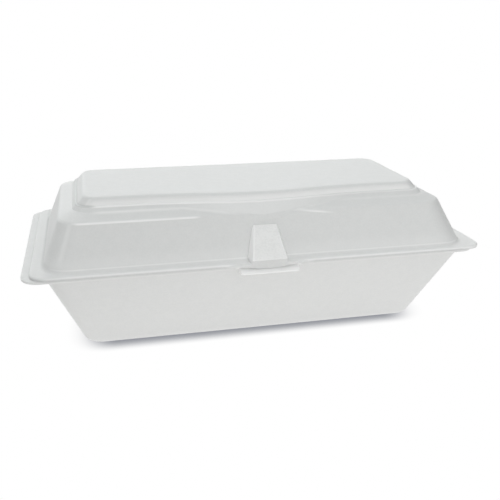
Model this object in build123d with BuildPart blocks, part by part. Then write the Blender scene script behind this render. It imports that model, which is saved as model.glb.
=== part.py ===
"""Sandwich container of expanded foam: a tapering tray and a stepped lid, one sheet folded at the back."""

import os
from math import hypot

from build123d import *

# Overall size in millimetres. X runs along the length, the tab is at the front (-Y) and Z is up.
overall_length = 247.65
overall_depth = 127.0
overall_height = 82.55
parting_height = 49.0

# The foam sheet, and the rims that are pressed thinner round the mouth of both halves.
wall = 2.2
rim_thickness = 1.6
rim_round = 1.1
rim_root_round = 1.8

# How far the rims stand out beyond the mouth. They are staggered along the length, so a finger can part them.
tray_rim_left = 9.3
tray_rim_right = 3.2
lid_rim_left = 5.3
lid_rim_right = 7.1
rim_front = 3.0
rim_back = 9.5
rim_corner = 9.0

# The tray: its corners in plan, how far its walls lean out from base to mouth, and its rounded foot.
tray_corner = 12.0
base_corner = 11.0
tray_end_lean = 18.9
tray_side_lean = 23.4
foot_round = 3.5

# The lid: a leaning wall, a ledge, a short steeper skirt and a raised top panel, each set in from the last.
# A narrow flat tread runs round the panel's foot. These steps are centred on the tab, not on the mouth.
crown_x = 0.0
lid_corner = 14.0
lid_end_lean = 11.0
lid_side_lean = 10.0
ledge_end_width = 7.2
ledge_side_width = 8.2
skirt_end_width = 1.6
skirt_side_width = 2.8
panel_tread = 0.9
panel_end_lean = 3.7
panel_side_lean = 1.0
ledge_rise = 2.7
skirt_rise = 2.2
panel_rise = 4.2
shoulder_corner = 12.0
panel_corner = 8.0
shoulder_round = 2.0
panel_foot_round = 0.5
panel_round = 1.9

# The swell in the middle of the front edge, above the tab, as pairs of a distance from the middle and a reach.
# The skirt swells with the panel, fans down over the ledge and ends in a low keel above the pad.
swell_half_width = 65.0
panel_swell = ((0.0, 5.5),)
fan_swell = ((0.0, 5.1), (14.0, 4.5), (25.0, 2.5))
keel_swell = ((0.0, 1.4), (10.0, 0.9), (25.0, 0.0))
inside_swell = ((0.0, 3.8),)
keel_drop = 3.95

# The raised pad on the lid's front wall, which widens and comes forward down to the tab.
pad_top_width = 12.0
pad_foot_width = 18.4
pad_top_drop = 5.8
pad_top_proud = 0.6
pad_foot_lift = 3.4
pad_step = 1.0
pad_flank = 1.6
pad_round = 0.5

# The tab lock: a tongue on the lid drops in front of the rim, into a dished thumb lip on the tray.
tab_reach = 3.5
lip_width = 31.4
lip_height = 3.4
lip_dish = 1.6
lip_slope_drop = 1.8
lip_edge = 0.6
lip_corner = 1.8
tongue_width = 25.0
tongue_thickness = 1.4
tongue_flare = 12.0
tongue_clearance = 0.15

# The mouth that both halves share, the rims round it, and the slopes of the walls.
mouth_length = overall_length - tray_rim_left - lid_rim_right
mouth_depth = overall_depth - tab_reach - rim_front - rim_back
mouth_x = (tray_rim_left - lid_rim_right) / 2
mouth_y = (tab_reach + rim_front - rim_back) / 2
mouth_front_y = mouth_y - mouth_depth / 2
rim_front_y = mouth_front_y - rim_front
lip_front_y = rim_front_y - tab_reach
tongue_front_y = rim_front_y - tongue_clearance - tongue_thickness
rim_depth = mouth_depth + rim_front + rim_back
rim_y = rim_front_y + rim_depth / 2
tray_rim_length = mouth_length + tray_rim_left + tray_rim_right
tray_rim_x = mouth_x + (tray_rim_right - tray_rim_left) / 2
lid_rim_length = mouth_length + lid_rim_left + lid_rim_right
lid_rim_x = mouth_x + (lid_rim_right - lid_rim_left) / 2
wall_rise = overall_height - parting_height - ledge_rise - skirt_rise - panel_rise
tray_end_slope = tray_end_lean / parting_height
tray_side_slope = tray_side_lean / parting_height
lid_side_slope = lid_side_lean / wall_rise


def outline(height, length, depth, corner, swell=((0, 0),), middle_x=mouth_x):
    """A rounded rectangle at a height. Its front edge may swell, by reaches listed outwards from the middle."""
    right = length / 2
    back = depth / 2
    right_half = [(along, -back - reach) for along, reach in swell]
    left_half = [(-along, front_y) for along, front_y in right_half[:0:-1]]
    with BuildSketch(Plane((middle_x, mouth_y, height))) as sketch:
        with BuildLine():
            front = Spline(
                (-swell_half_width, -back),
                *left_half,
                *right_half,
                (swell_half_width, -back),
                tangents=((1, 0), (1, 0)),
            )
            Polyline(front @ 1, (right, -back), (right, back), (-right, back), (-right, -back), front @ 0)
        make_face()
        ends = sketch.vertices().group_by(Axis.X)
        fillet(ends[0] + ends[-1], corner)
    return sketch.sketch


def mitre(below, above):
    """Inset and drop that keep the foam one wall thick where two slopes meet, each given as (run, rise)."""
    normal_below = Vector(below[1], -below[0]).normalized()
    normal_above = Vector(above[1], -above[0]).normalized()
    return (normal_below + normal_above) * (wall / (1 + normal_below.dot(normal_above)))


def lid_levels():
    """Height, length, depth and corner at the lid's levels, from the mouth up: outside, then inside."""
    flat = (1, 0)
    rises = [wall_rise, ledge_rise, skirt_rise, 0, panel_rise]
    end_runs = [lid_end_lean, ledge_end_width, skirt_end_width, panel_tread, panel_end_lean]
    side_runs = [lid_side_lean, ledge_side_width, skirt_side_width, panel_tread, panel_side_lean]
    ends = [*zip(end_runs, rises), flat]
    sides = [*zip(side_runs, rises), flat]
    skirt_corner = panel_corner + panel_tread
    corners = [shoulder_corner, skirt_corner + skirt_end_width, skirt_corner, panel_corner, panel_corner]
    height, length, depth = parting_height, mouth_length, mouth_depth
    end_wall = wall * hypot(1, lid_end_lean / wall_rise)
    side_wall = wall * hypot(1, lid_side_slope)
    outside = [(height, length, depth, lid_corner)]
    inside = [(height, length - 2 * end_wall, depth - 2 * side_wall, lid_corner - wall)]
    for step, corner in enumerate(corners):
        height += rises[step]
        length -= 2 * ends[step][0]
        depth -= 2 * sides[step][0]
        end = mitre(ends[step], ends[step + 1])
        side = mitre(sides[step], sides[step + 1])
        drop = -(end.Y + side.Y) / 2
        outside.append((height, length, depth, corner))
        inside.append((height - drop, length - 2 * end.X, depth - 2 * side.X, corner - wall))
    return outside, inside


def carried_down(foot, top, height):
    """A level's outline carried on down the slope that joins it to the level above."""
    share = (foot[0] - height) / (top[0] - foot[0])
    length, depth, corner = (low + (low - high) * share for low, high in zip(foot[1:], top[1:]))
    return height, length, depth, corner


def lid_sections(levels, skirt_swell):
    """Pairs of outlines to loft between: the lid's wall, its ledge, the skirt and the panel."""
    mouth, shoulder, ledge_top, skirt_top, panel_foot, panel_top = levels
    skirt_root = carried_down(ledge_top, skirt_top, shoulder[0])
    panel_root = carried_down(panel_foot, panel_top, ledge_top[0])
    shoulder_outline = outline(*shoulder, middle_x=crown_x)
    return [
        [outline(*mouth), shoulder_outline],
        [shoulder_outline, outline(*ledge_top, middle_x=crown_x)],
        [outline(*skirt_root, skirt_swell, crown_x), outline(*skirt_top, panel_swell, crown_x)],
        [outline(*panel_root, panel_swell, crown_x), outline(*panel_top, panel_swell, crown_x)],
    ]


def pad_outline(height, face_y, width):
    """A section of the pad at a height: its flanks spread from its face back into the wall."""
    wall_y = mouth_front_y + lid_side_slope * (height - parting_height) + wall / 2
    with BuildSketch(Plane((0, 0, height))) as sketch:
        with BuildLine():
            Polyline(
                (-width / 2, face_y),
                (width / 2, face_y),
                (width / 2 + pad_flank, wall_y),
                (-width / 2 - pad_flank, wall_y),
                close=True,
            )
        make_face()
    return sketch.sketch


with BuildPart() as tray:
    base_length = mouth_length - 2 * tray_end_lean
    base_depth = mouth_depth - 2 * tray_side_lean
    base = outline(0, base_length, base_depth, base_corner)
    loft([base, outline(parting_height, mouth_length, mouth_depth, tray_corner)])
    fillet(tray.edges().group_by(Axis.Z)[0], foot_round)

    # The rim round the mouth, rounded below.
    with BuildSketch(Plane((tray_rim_x, rim_y, parting_height - rim_thickness))):
        RectangleRounded(tray_rim_length, rim_depth, rim_corner)
    extrude(amount=rim_thickness)
    fillet(tray.faces().filter_by(Plane.XY).sort_by(Axis.Z)[1].inner_wires()[0].edges(), rim_root_round)
    fillet(tray.faces().filter_by(Plane.XY).sort_by(Axis.Z)[1].outer_wire().edges(), rim_round)

    # The thumb lip below the tongue: a block whose face slopes down and forward, with a dish in its top.
    lip_foot = parting_height - lip_height
    lip_slope_foot = lip_foot + lip_edge
    lip_root_y = mouth_front_y + tray_side_slope * lip_height + wall / 2
    with BuildSketch(Plane.YZ):
        with BuildLine():
            Polyline(
                (lip_root_y, lip_foot),
                (lip_root_y, parting_height - rim_thickness),
                (rim_front_y, lip_slope_foot + lip_slope_drop),
                (lip_front_y, lip_slope_foot),
                (lip_front_y, lip_foot),
                close=True,
            )
        make_face()
    extrude(amount=lip_width / 2, both=True)
    fillet(tray.edges().filter_by(Axis.Z).group_by(Axis.Y)[0], lip_corner)
    with BuildSketch(Plane((0, rim_front_y, parting_height), x_dir=(1, 0, 0), z_dir=(0, -1, 0))):
        with BuildLine():
            dish = ThreePointArc((-lip_width / 2, 0), (0, -lip_dish), (lip_width / 2, 0))
            Line(dish @ 1, dish @ 0)
        make_face()
    extrude(amount=tab_reach, mode=Mode.SUBTRACT)

    # The inside, one wall in from the outside.
    end_wall = wall * hypot(1, tray_end_slope)
    side_wall = wall * hypot(1, tray_side_slope)
    floor_length = base_length + 2 * wall * tray_end_slope - 2 * end_wall
    floor_depth = base_depth + 2 * wall * tray_side_slope - 2 * side_wall
    floor = outline(wall, floor_length, floor_depth, base_corner - wall)
    opening_length = mouth_length - 2 * end_wall
    opening_depth = mouth_depth - 2 * side_wall
    opening = outline(parting_height, opening_length, opening_depth, tray_corner - wall)
    loft([floor, opening], mode=Mode.SUBTRACT)

with BuildPart() as lid:
    outside, inside = lid_levels()
    wall_pair, ledge_pair, skirt_pair, panel_pair = lid_sections(outside, fan_swell)
    shoulder_height, foot_height, top_height = outside[1][0], outside[4][0], outside[5][0]
    loft(wall_pair)
    loft(ledge_pair)
    fillet(lid.edges().filter_by_position(Axis.Z, shoulder_height, shoulder_height), shoulder_round)
    keel = carried_down(outside[2], outside[3], shoulder_height - keel_drop)
    loft([outline(*keel, keel_swell, crown_x), *skirt_pair])
    loft(panel_pair)
    fillet(lid.edges().filter_by_position(Axis.Z, foot_height, foot_height), panel_foot_round)
    fillet(lid.edges().filter_by_position(Axis.Z, top_height, top_height), panel_round)

    # The rim, which lies on the tray's rim, flares forward to the tongue and is rounded above.
    with BuildSketch(Plane((0, 0, parting_height))):
        with Locations((lid_rim_x, rim_y)):
            RectangleRounded(lid_rim_length, rim_depth, rim_corner)
        with BuildLine():
            Polyline(
                (-tongue_width / 2 - tongue_flare, rim_front_y),
                (-tongue_width / 2, tongue_front_y),
                (tongue_width / 2, tongue_front_y),
                (tongue_width / 2 + tongue_flare, rim_front_y),
                close=True,
            )
        make_face()
    extrude(amount=rim_thickness)
    fillet(lid.faces().filter_by(Plane.XY).sort_by(Axis.Z)[1].inner_wires()[0].edges(), rim_root_round)
    fillet(lid.faces().filter_by(Plane.XY).sort_by(Axis.Z)[1].outer_wire().edges(), rim_round)

    # The pad on the front wall, from below the shoulder down over the rim, and the tongue's root below it.
    pad_foot = parting_height + pad_foot_lift
    pad_foot_y = tongue_front_y - pad_step
    pad_top = shoulder_height - pad_top_drop
    pad_top_y = mouth_front_y + lid_side_slope * (pad_top - parting_height) - pad_top_proud
    loft([pad_outline(pad_foot, pad_foot_y, pad_foot_width), pad_outline(pad_top, pad_top_y, pad_top_width)])
    pad_middle = (0, (pad_foot_y + pad_top_y) / 2, (pad_foot + pad_top) / 2)
    pad_face = lid.faces().sort_by_distance(pad_middle)[0]
    fillet(pad_face.edges().sort_by(Axis.Z)[1:], pad_round)
    extrude(pad_outline(pad_foot, tongue_front_y, pad_foot_width), amount=-pad_foot_lift)

    # The inside, one wall in from the outside.
    for pair in lid_sections(inside, inside_swell):
        loft(pair, mode=Mode.SUBTRACT)

    # The tongue's tip, which hangs in front of the tray's rim and follows the dish of the lip.
    tongue_back = (0, tongue_front_y + tongue_thickness, parting_height)
    with BuildSketch(Plane(tongue_back, x_dir=(1, 0, 0), z_dir=(0, -1, 0))):
        with BuildLine():
            tip_middle = (0, tongue_clearance - lip_dish)
            tip = ThreePointArc((-tongue_width / 2, 0), tip_middle, (tongue_width / 2, 0))
            Line(tip @ 1, tip @ 0)
        make_face()
    extrude(amount=tongue_thickness)

os.makedirs("parts", exist_ok=True)
tray.part.label = "tray"
export_step(tray.part, "parts/tray.step")
lid.part.label = "lid"
export_step(lid.part, "parts/lid.step")
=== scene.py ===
"""A closed foam sandwich container on a pale table: tray, lid and the film that hinges them."""

import math

import bmesh
import bpy
from mathutils import Matrix, Vector


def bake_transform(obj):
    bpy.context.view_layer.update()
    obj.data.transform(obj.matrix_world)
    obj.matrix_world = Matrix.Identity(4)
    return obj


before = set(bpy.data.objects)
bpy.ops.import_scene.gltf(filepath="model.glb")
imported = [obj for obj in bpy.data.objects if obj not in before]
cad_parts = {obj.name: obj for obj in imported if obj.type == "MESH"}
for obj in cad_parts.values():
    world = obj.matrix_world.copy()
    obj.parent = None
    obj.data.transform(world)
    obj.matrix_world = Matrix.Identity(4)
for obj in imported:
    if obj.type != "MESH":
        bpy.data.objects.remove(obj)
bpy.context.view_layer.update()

# Tray and lid. Both are one sheet of white polystyrene foam, pressed to shape while warm between two moulds.
# The sheet keeps a satin skin over closed cells, which mottle it faintly. Its colour carries painted
# highlights along the steps of the lid, on the pad above the tab, on the lip and on the rims, and painted
# shade in a few creases.
foam_colour = (0.765, 0.77, 0.765, 1.0)
foam_shade = (0.735, 0.742, 0.737, 1.0)
highlight_colour = (0.95, 0.95, 0.945, 1.0)
shade_grey_colour = (0.5, 0.51, 0.505, 1.0)
foam_roughness = 0.40
grain_roughness = 0.1
cell_size = 0.0009
cell_detail = 2.0
cell_share = 0.6
mottle_size = 0.004
mottle_detail = 3.0
mottle_share = 0.4
mottle_span = (0.3, 0.7)
skin_relief = 0.00005
glow_weight = 0.4
glow_radius = (1.0, 1.0, 1.0)
glow_depth = 0.0018
parting_height = 0.049


class Field:
    """A value that varies over a surface. Arithmetic on it adds Math nodes to the material."""

    def __init__(self, tree, socket):
        self.tree = tree
        self.socket = socket

    def node(self, kind, settings=None, inputs=None, output=0):
        """A new node with its settings, then the values or links of its sockets, as one of its outputs."""
        made = self.tree.nodes.new(kind)
        for name, value in (settings or {}).items():
            setattr(made, name, value)
        for name, value in (inputs or {}).items():
            if isinstance(value, Field):
                self.tree.links.new(value.socket, made.inputs[name])
            else:
                made.inputs[name].default_value = value
        return Field(self.tree, made.outputs[output])

    def math(self, operation, first, second=0.0):
        return self.node("ShaderNodeMath", {"operation": operation}, {0: first, 1: second})

    def __add__(self, other):
        return self.math("ADD", self, other)

    def __sub__(self, other):
        return self.math("SUBTRACT", self, other)

    def __mul__(self, other):
        return self.math("MULTIPLY", self, other)

    def __radd__(self, other):
        return self.math("ADD", other, self)

    def __rsub__(self, other):
        return self.math("SUBTRACT", other, self)

    def __rmul__(self, other):
        return self.math("MULTIPLY", other, self)

    def __abs__(self):
        return self.math("ABSOLUTE", self)

    def rise(self, low, high):
        """0 up to the low value and 1 from the high one on, or the other way round, smooth between."""
        return self.node(
            "ShaderNodeMapRange",
            {"interpolation_type": "SMOOTHSTEP"},
            {"Value": self, "From Min": low, "From Max": high},
        )

    def near(self, middle, reach):
        """1 at the middle, falling smoothly to 0 at the reach to either side."""
        return abs(self - middle).rise(reach, 0.0)

    def part(self, axis):
        """One of the three parts of a place or a direction."""
        return self.node("ShaderNodeSeparateXYZ", None, {0: self}, axis)

    def blend(self, first, second):
        """The first colour where this is 0 and the second where it is 1."""
        return self.node("ShaderNodeMix", {"data_type": "RGBA"}, {"Factor": self, 6: first, 7: second}, 2)

    def feed(self, shader, name):
        self.tree.links.new(self.socket, shader.inputs[name])


foam = bpy.data.materials.new("white_foam")
foam.use_nodes = True
foam_tree = foam.node_tree
foam_shader = foam_tree.nodes["Principled BSDF"]
foam_spot = foam_tree.nodes.new("ShaderNodeTexCoord")
place = Field(foam_tree, foam_spot.outputs["Object"])
facing = Field(foam_tree, foam_spot.outputs["Normal"])
along, across, height = place.part("X"), place.part("Y"), place.part("Z")
middle = abs(along)
cells = place.node(
    "ShaderNodeTexNoise", None, {"Vector": place, "Scale": 1 / cell_size, "Detail": cell_detail}
)
mottle = place.node(
    "ShaderNodeTexNoise", None, {"Vector": place, "Scale": 1 / mottle_size, "Detail": mottle_detail}
)
grain = mottle * mottle_share + cells * cell_share

# Painted highlights along the creases of the lid's steps: the panel's foot, the top of the ledge, which dips
# in a fan towards the pad, and the shoulder, in one straight run at the left and one short crest at the right
# of the pad.
crease_reach = 0.0008
left_span = (0.07, -0.07)
front_span = (-0.030, -0.036)
panel_left_end = (-0.090, -0.083)
panel_foot_height = 0.07830
panel_foot_white = 0.4
panel_foot_left_white = 0.85
ledge_top_height = 0.07605
ledge_gap = (0.008, 0.022)
ledge_white = 0.2
ledge_left_white = 0.4
fan_foot_height = 0.07345
fan_foot_half = 0.0140
fan_slope = 0.095
shoulder_height = 0.0729
shoulder_left_end = (-0.099, -0.094)
shoulder_right_end = (-0.032, -0.038)
shoulder_white = 1.1
crest_height = 0.0723
crest_slope = 0.114
crest_start = 0.030
crest_run = (0.0285, 0.0130)
crest_white = 0.9

# The painted highlights on the panel's foot and the ledge are stronger towards the left, where more light
# falls.
leftward = along.rise(*left_span)
front = across.rise(*front_span)
panel_run = along.rise(*panel_left_end)
panel_foot_level = panel_foot_white + panel_foot_left_white * leftward
panel_foot = height.near(panel_foot_height, crease_reach) * panel_run * panel_foot_level
fan_dip = (ledge_top_height - fan_foot_height + fan_slope * (fan_foot_half - middle)) * front
fan_line = ledge_top_height - place.math("MAXIMUM", fan_dip)
above_fan = height - fan_line
ledge_level = ledge_white + ledge_left_white * leftward
ledge_top = above_fan.near(0.0, crease_reach) * panel_run * middle.rise(*ledge_gap) * ledge_level
shoulder_run = along.rise(*shoulder_left_end) * along.rise(*shoulder_right_end)
left_shoulder = height.near(shoulder_height, crease_reach) * shoulder_run
crest_line = height + crest_slope * (along - crest_start)
crest = crest_line.near(crest_height, crease_reach) * along.near(*crest_run)

# Painted highlights on faces between the creases: the panel's wall, the fan's skirt and the lid's left
# front corner.
upright_span = (0.7, 0.3)
panel_wall_foot = (0.0782, 0.0788)
panel_wall_top = (0.0826, 0.0792)
panel_wall_white = 0.85
skirt_foot = (0.0, 0.0008)
skirt_top = (0.0786, 0.0782)
skirt_front = (-0.034, -0.038)
skirt_half = (0.060, 0.015)
skirt_white = 0.35
corner_leftward = (-0.42, 0.14)
corner_forward = (-0.6, -0.75)
corner_foot = (0.053, 0.058)
corner_white = 0.3
edge_white = 0.75
edge_cells_white = 0.5

upright = abs(facing.part("Z")).rise(*upright_span)
panel_wall = height.rise(*panel_wall_foot) * height.rise(*panel_wall_top) * upright
skirt_band = above_fan.rise(*skirt_foot) * height.rise(*skirt_top)
skirt = skirt_band * across.rise(*skirt_front) * middle.rise(*skirt_half)
corner_turn = facing.part("X").near(*corner_leftward) * facing.part("Y").rise(*corner_forward)
corner = corner_turn * height.rise(*corner_foot)
shoulder = (shoulder_white * left_shoulder + crest_white * crest) * front
crease_highlights = panel_foot + ledge_top + shoulder + corner_white * corner
edges = crease_highlights * (edge_white + edge_cells_white * cells)

# The pad above the tab stands proud of the leaning wall. It is painted lighter, with a painted highlight
# along its left edge and flank, and the shaded left flank of its root is painted lighter too.
wall_foot_y = -0.057
wall_lean = 0.409
pad_proud = (-0.0002, -0.0005)
pad_foot = (0.0521, 0.0527)
pad_top = (0.0680, 0.0674)
pad_half = (0.0125, 0.0110)
pad_edge_x = -0.02019
pad_edge_lean = 0.2098
pad_edge_reach = 0.0009
flank_leftward = (-0.3, -0.8)
pad_grain = (0.35, 0.6)
pad_base_white = 0.42
pad_grain_white = 0.3
pad_edge_white = 0.5
pad_flank_white = 0.4
pad_root_y = (-0.0575, -0.0582)
pad_root_band = (0.0514, 0.0016)
pad_root_white = 0.9

proud = across - wall_foot_y - wall_lean * (height - parting_height)
pad_width = middle.rise(*pad_half)
pad = proud.rise(*pad_proud) * height.rise(*pad_foot) * height.rise(*pad_top) * pad_width
pad_edge = (along - pad_edge_x - pad_edge_lean * height).near(0.0, pad_edge_reach)
pad_flank = facing.part("X").rise(*flank_leftward)
pad_lightening = pad_base_white + pad_grain_white * grain.rise(*pad_grain)
pad_highlight = pad_lightening + pad_edge_white * pad_edge + pad_flank_white * pad_flank
pad_root = pad_flank * across.rise(*pad_root_y) * height.near(*pad_root_band) * pad_width

# The tab lock: the tray's thumb lip, the lid's tongue in front of the rim, and the bend where the lip leaves
# the rim. The lip carries a painted highlight, and the shaded crease at the bend is painted lighter.
lip_crest_y = -0.060
lip_crest_height = 0.0480
lip_lean = 0.514
lip_front = (-0.0600, -0.0602)
lip_skin = (0.0003, 0.0001)
lip_white = 0.75
tongue_front = (-0.0602, -0.0606)
lip_root_front = (-0.0583, -0.0592)
lip_root_top = (0.0494, 0.0490)
lip_root_half = (0.0185, 0.0160)
lip_root_white = 0.7

above_lip = height - lip_crest_height - lip_lean * (across - lip_crest_y)
lip = across.rise(*lip_front) * above_lip.rise(*lip_skin)
tongue = across.rise(*tongue_front) * (1.0 - lip)
lip_bend = across.rise(*lip_root_front) * height.rise(*lip_root_top) * middle.rise(*lip_root_half)
lip_root = lip_bend * (1.0 - lip) * (1.0 - tongue)

# The rims carry painted highlights: on the lid's edge, on the foot of its wall, where shade falls, with a
# pale painted line along the front, and on the pale painted line below the tray's rim. Their left ends get
# less of it and painted shade, darkest along the foot of the lid's end wall.
rim_edge_band = (0.0501, 0.0006)
rim_edge_white = 0.5
lid_foot_top = (0.0600, 0.0515)
lid_foot_base = (0.0492, 0.0496)
lid_foot_white = 0.25
line_front = (-0.050, -0.053)
foot_line_band = (0.0521, 0.0006)
foot_line_white = 0.5
tray_line_band = (0.0465, 0.0010)
tray_line_white = 0.4
rim_end_span = (-0.098, -0.118)
rim_end_top = (0.0540, 0.0525)
rim_end_base = (0.0465, 0.0475)
rim_end_dimming = 0.7
rim_end_shade_grey = 0.14
groove_x = (-0.1138, 0.0014)
groove_y = (-0.052, -0.036)
groove_band = (0.0509, 0.0012)
wall_foot_shade_grey = 0.4

rim_edge = height.near(*rim_edge_band)
lid_foot = height.rise(*lid_foot_top) * height.rise(*lid_foot_base)
line_run = across.rise(*line_front)
foot_line = height.near(*foot_line_band) * line_run
tray_line = height.near(*tray_line_band) * line_run
rim_end = along.rise(*rim_end_span) * height.rise(*rim_end_top) * height.rise(*rim_end_base)
wall_foot_shade = along.near(*groove_x) * across.rise(*groove_y) * height.near(*groove_band)
rim_edge_highlights = rim_edge_white * rim_edge + lid_foot_white * lid_foot
rim_highlight_lines = foot_line_white * foot_line + tray_line_white * tray_line
rims = (rim_edge_highlights + rim_highlight_lines) * (1.0 - tongue) * (1.0 - pad) * (1.0 - rim_end_dimming * rim_end)

# Painted light makes the tray's foot a little paler, as if lit from the table. Painted shade greys the seam
# between the rims, the narrow tread at the panel's left end, the foot of the lid's left end wall and the
# rims' left ends.
foot_span = (0.004, 0.001)
foot_white = 0.2
seam_reach = 0.00025
seam_shade_grey = 0.25
tread_band = (0.0784, 0.0007)
tread_end = (-0.084, -0.090)
tread_shade_grey = 0.4

foot = height.rise(*foot_span)
# All painted highlights are gathered over the mottled sheet colour, then all painted shade over them.
tab_highlights = pad * pad_highlight + pad_root_white * pad_root + lip_white * lip + lip_root_white * lip_root
face_highlights = foot_white * foot + panel_wall_white * panel_wall + skirt_white * skirt
painted_highlights = edges + tab_highlights + rims + face_highlights
seam_shade = height.near(parting_height, seam_reach) * upright * (1.0 - tongue) * (1.0 - lip_root)
tread_shade = height.near(*tread_band) * along.rise(*tread_end)
painted_shade = seam_shade_grey * seam_shade + tread_shade_grey * tread_shade + wall_foot_shade_grey * wall_foot_shade + rim_end_shade_grey * rim_end
sheet_colour = grain.rise(*mottle_span).blend(foam_colour, foam_shade)
highlighted_colour = painted_highlights.blend(sheet_colour, highlight_colour)
painted_shade.blend(highlighted_colour, shade_grey_colour).feed(foam_shader, "Base Color")
(foam_roughness + grain_roughness * grain).feed(foam_shader, "Roughness")
skin = place.node("ShaderNodeBump", None, {"Height": grain, "Distance": skin_relief, "Strength": 1.0})
skin.feed(foam_shader, "Normal")
foam_shader.inputs["Subsurface Weight"].default_value = glow_weight
foam_shader.inputs["Subsurface Radius"].default_value = glow_radius
foam_shader.inputs["Subsurface Scale"].default_value = glow_depth

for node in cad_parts.values():
    node.data.materials.clear()
    node.data.materials.append(foam)

# The hinge film. The same sheet, pressed to a thin skin along the fold, joins the rims at the back.
# It wraps the back edges of both rims and runs straight up between them, in narrow steps along the fold line.
film_length = 0.221
film_thickness = 0.00008
film_gap = 0.00002
rim_back = 0.0635
rim_thickness = 0.0016
rim_round = 0.0011
fold_half_height = 0.00025
fold_steps = 6
round_steps = 5

bend = rim_round + film_gap
centre_y = rim_back - rim_round
tray_centre = Vector((0, centre_y, parting_height - rim_thickness + rim_round))
lid_centre = Vector((0, centre_y, parting_height + rim_thickness - rim_round))
film_sheet = bmesh.new()
film_foot = tray_centre.z - bend
film_ends = [film_sheet.verts.new((side * film_length / 2, centre_y, film_foot)) for side in (-1, 1)]
strip = [film_sheet.edges.new(film_ends)]


def wrap(centre):
    """Carries the strip's edge a quarter turn round the back of one rim."""
    made = bmesh.ops.spin(
        film_sheet,
        geom=strip,
        cent=centre,
        axis=(1, 0, 0),
        angle=math.pi / 2,
        steps=round_steps,
        use_duplicate=False,
    )
    return [item for item in made["geom_last"] if isinstance(item, bmesh.types.BMEdge)]


def climb(rise, steps):
    """Carries the strip's edge straight up, in equal steps."""
    last = strip
    for step in range(steps):
        made = bmesh.ops.extrude_edge_only(film_sheet, edges=last)["geom"]
        corners = [item for item in made if isinstance(item, bmesh.types.BMVert)]
        bmesh.ops.translate(film_sheet, vec=(0, 0, rise / steps), verts=corners)
        sides = [item for item in made if isinstance(item, bmesh.types.BMEdge)]
        last = [side for side in sides if side.calc_length() > film_length / 2]
    return last


straight = parting_height - fold_half_height - tray_centre.z
strip = wrap(tray_centre)
strip = climb(straight, 1)
strip = climb(2 * fold_half_height, fold_steps)
strip = climb(straight, 1)
strip = wrap(lid_centre)
bmesh.ops.recalc_face_normals(film_sheet, faces=film_sheet.faces)
bmesh.ops.solidify(film_sheet, geom=film_sheet.faces, thickness=film_thickness)
film_mesh = bpy.data.meshes.new("hinge_film")
film_sheet.to_mesh(film_mesh)
film_sheet.free()
film_mesh.shade_smooth()
film = bpy.data.objects.new("hinge_film", film_mesh)
bpy.context.scene.collection.objects.link(film)
film_mesh.materials.append(foam)
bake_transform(film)

# The table is a broad white sheet. To the camera and in reflections it shows white, with a painted shadow
# drawn from its occlusion, narrow where the box stands on it and weaker beyond the box's ends. To light that
# bounces off it, it glows, sending light up under the leaning walls of the tray, and less of it from beyond
# the box's ends.
table_size = 6.0
table_light = (1.0, 0.995, 0.985, 1.0)
table_end_light = (0.45, 0.448, 0.443, 1.0)
table_strength = 0.95
table_right = (0.13, 0.30)
table_left = (-0.06, -0.36)
white = (1.0, 1.0, 1.0, 1.0)
shadow_colour = (0.30, 0.31, 0.34, 1.0)
shadow_reach = 0.011
shadow_span = (0.95, 0.2)
shadow_samples = 16
end_shadow_share = 0.18
base_half_length = 0.090
base_corner = 0.012

table_mesh = bpy.data.meshes.new("table")
table_sheet = bmesh.new()
bmesh.ops.create_grid(table_sheet, x_segments=1, y_segments=1, size=table_size / 2)
table_sheet.to_mesh(table_mesh)
table_sheet.free()
table = bpy.data.objects.new("table", table_mesh)
bpy.context.scene.collection.objects.link(table)
paper = bpy.data.materials.new("white_table")
paper.use_nodes = True
paper_tree = paper.node_tree
paper_tree.nodes.clear()
path = paper_tree.nodes.new("ShaderNodeLightPath")
seen = Field(paper_tree, path.outputs["Is Camera Ray"])
glossy = Field(paper_tree, path.outputs["Is Glossy Ray"])
mirrored = glossy + Field(paper_tree, path.outputs["Is Transmission Ray"])
open_sky = seen.node(
    "ShaderNodeAmbientOcclusion", {"samples": shadow_samples}, {"Distance": shadow_reach}, "AO"
)
table_spot = Field(paper_tree, paper_tree.nodes.new("ShaderNodeTexCoord").outputs["Object"])
table_x = table_spot.part("X")
base_ends = abs(table_x).rise(base_half_length - base_corner, base_half_length + base_corner)
shaded = open_sky.rise(*shadow_span) * (1.0 - (1.0 - end_shadow_share) * base_ends)
shown = seen.node("ShaderNodeEmission", None, {"Color": shaded.blend(white, shadow_colour)})
far_ends = table_x.rise(*table_right) + table_x.rise(*table_left)
glow_colour = far_ends.blend(table_light, table_end_light)
glow = seen.node("ShaderNodeEmission", None, {"Color": glow_colour, "Strength": table_strength})
surface = seen.node("ShaderNodeMixShader", None, {0: seen + mirrored, 1: glow, 2: shown})
surface.feed(paper_tree.nodes.new("ShaderNodeOutputMaterial"), "Surface")
table_mesh.materials.append(paper)

# The light is a white tent that is dim at its sides, most of all at the right. Its backdrop shows low down
# behind the box, in the satin skin of the top, and one soft lamp stands at the right of the front.
tent_colour = (0.985, 1.0, 0.997, 1.0)
tent_level = 0.98
tent_top = 0.12
tent_left = 0.55
tent_left_span = (-0.2, -1.0)
tent_right = 0.95
tent_right_span = (0.25, 0.9)
tent_front = 0.16
tent_front_span = (0.0, -0.8)
backdrop_level = 0.80
backdrop_span = (0.6, 0.9)
backdrop_band = (0.2, 0.45)
lamp_place = Vector((0.22, -0.45, 0.18))
lamp_aim = Vector((0.0, 0.0, 0.05))
lamp_size = 0.40
lamp_power = 0.32

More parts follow.
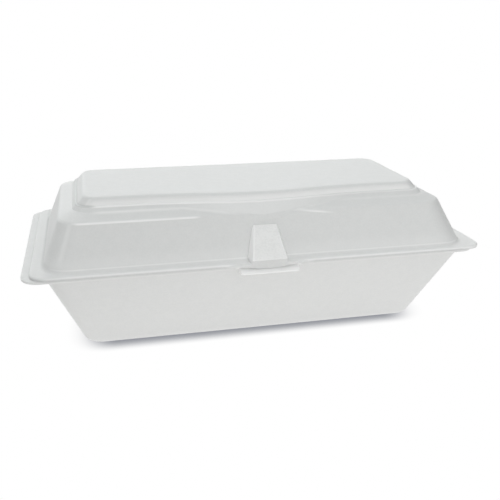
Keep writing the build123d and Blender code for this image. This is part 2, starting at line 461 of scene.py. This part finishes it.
world = bpy.data.worlds.new("tent")
bpy.context.scene.world = world
world.use_nodes = True
tent_tree = world.node_tree
tent_tree.nodes.clear()
way = Field(tent_tree, tent_tree.nodes.new("ShaderNodeTexCoord").outputs["Generated"])
sideways, backward, upward = way.part("X"), way.part("Y"), way.part("Z")
backdrop = backward.rise(*backdrop_span) * upward.near(*backdrop_band)
tent_sides = tent_left * sideways.rise(*tent_left_span) + tent_right * sideways.rise(*tent_right_span)
dimmed = tent_sides + tent_front * backward.rise(*tent_front_span)
lit = tent_level + tent_top * upward - dimmed + backdrop_level * backdrop
tent_seen = Field(tent_tree, tent_tree.nodes.new("ShaderNodeLightPath").outputs["Is Camera Ray"])
tent = way.node("ShaderNodeBackground", None, {"Color": tent_colour, "Strength": lit})
plain = way.node("ShaderNodeBackground", None, {"Color": white, "Strength": 1.0})
sky = way.node("ShaderNodeMixShader", None, {0: tent_seen, 1: tent, 2: plain})
sky.feed(tent_tree.nodes.new("ShaderNodeOutputWorld"), "Surface")

lamp = bpy.data.lights.new("softbox", "AREA")
lamp.size = lamp_size
lamp.energy = lamp_power
softbox = bpy.data.objects.new("softbox", lamp)
lamp_turn = (lamp_aim - lamp_place).to_track_quat("-Z", "Y").to_matrix()
softbox.matrix_world = Matrix.Translation(lamp_place) @ lamp_turn.to_4x4()
softbox.visible_camera = False
bpy.context.scene.collection.objects.link(softbox)

# The camera stands in front of the box, a little to its left and above it.
# Its place, lens and shift frame the box as in the photograph.
image_width = 500
camera_place = Vector((-0.0881, -0.3719, 0.1732))
camera_aim = Vector((0.0, -0.0015, 0.041))
camera_roll = math.radians(0.466)
lens_pixels = 670.06
shift_pixels = (-6.63, -7.10)
sensor_width = 36.0
nearest_seen = 0.01

camera = bpy.data.cameras.new("camera")
camera.sensor_width = sensor_width
camera.lens = lens_pixels / image_width * sensor_width
camera.shift_x = -shift_pixels[0] / image_width
camera.shift_y = shift_pixels[1] / image_width
camera.clip_start = nearest_seen
holder = bpy.data.objects.new("camera", camera)
camera_look = (camera_aim - camera_place).to_track_quat("-Z", "Y").to_matrix()
camera_turn = camera_look @ Matrix.Rotation(camera_roll, 3, "Z")
holder.matrix_world = Matrix.Translation(camera_place) @ camera_turn.to_4x4()
bpy.context.scene.collection.objects.link(holder)
bpy.context.scene.camera = holder

bpy.context.scene.view_settings.view_transform = "Standard"
